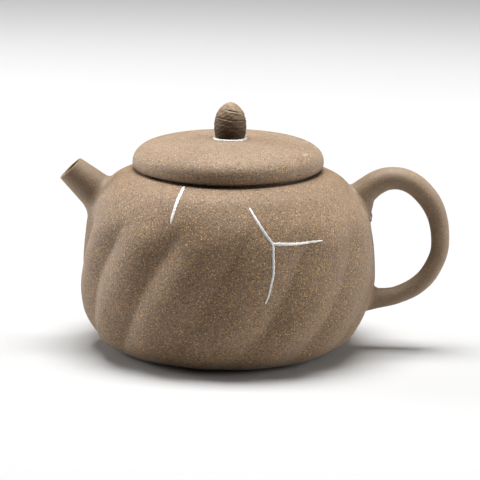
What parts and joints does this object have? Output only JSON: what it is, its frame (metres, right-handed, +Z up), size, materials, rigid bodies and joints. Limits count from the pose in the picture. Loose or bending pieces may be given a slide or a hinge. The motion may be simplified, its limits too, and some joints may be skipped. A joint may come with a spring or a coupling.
{
  "type": "teapot",
  "caption": "Small unglazed clay teapot with a spiral-lobed body, short spout, ear-shaped handle, lift-off domed lid with egg-shaped knob, and silver lines on the wall.",
  "frame": {"origin": "centre of the base's rest face, on the axis of the body and the lid", "axes": "+Z up the body's axis, +X towards the handle, -X towards the spout; the silver twig is on the -Y side"},
  "size_m": [0.1126, 0.0853, 0.072],
  "materials": {
    "clay": "matte unglazed sandy clay with fine ochre and dark grains",
    "lid_clay": "matte unglazed sandy clay, a little lighter, with a few dark pits",
    "knob_clay": "matte dark brown clay with hand-cut grooves",
    "silver": "bright silver laid by hand"
  },
  "bodies": {
    "pot": {"base_disc": "clay", "body_wall": "clay", "shoulder_disc": "clay", "neck_ring": "clay", "spout": "clay", "strainer": "clay", "handle": "clay", "inlay_short": "silver", "inlay_twig_upper": "silver", "inlay_twig_right": "silver", "inlay_twig_lower": "silver"},
    "lid_lifter": {"lid_flange": "lid_clay"},
    "lid": {"lid_dome": "lid_clay", "lid_seat": "lid_clay", "knob": "knob_clay", "knob_ring": "silver"}
  },
  "joints": [
    {"name": "lid_lift", "type": "slide", "parent": "pot", "child": "lid_lifter", "axis": [0, 0, 1], "range_m": [0, 0.05]},
    {"name": "lid_turn", "type": "hinge", "parent": "lid_lifter", "child": "lid", "pos_m": [0, 0, 0.0546], "axis": [0, 0, 1], "continuous": true}
  ]
}
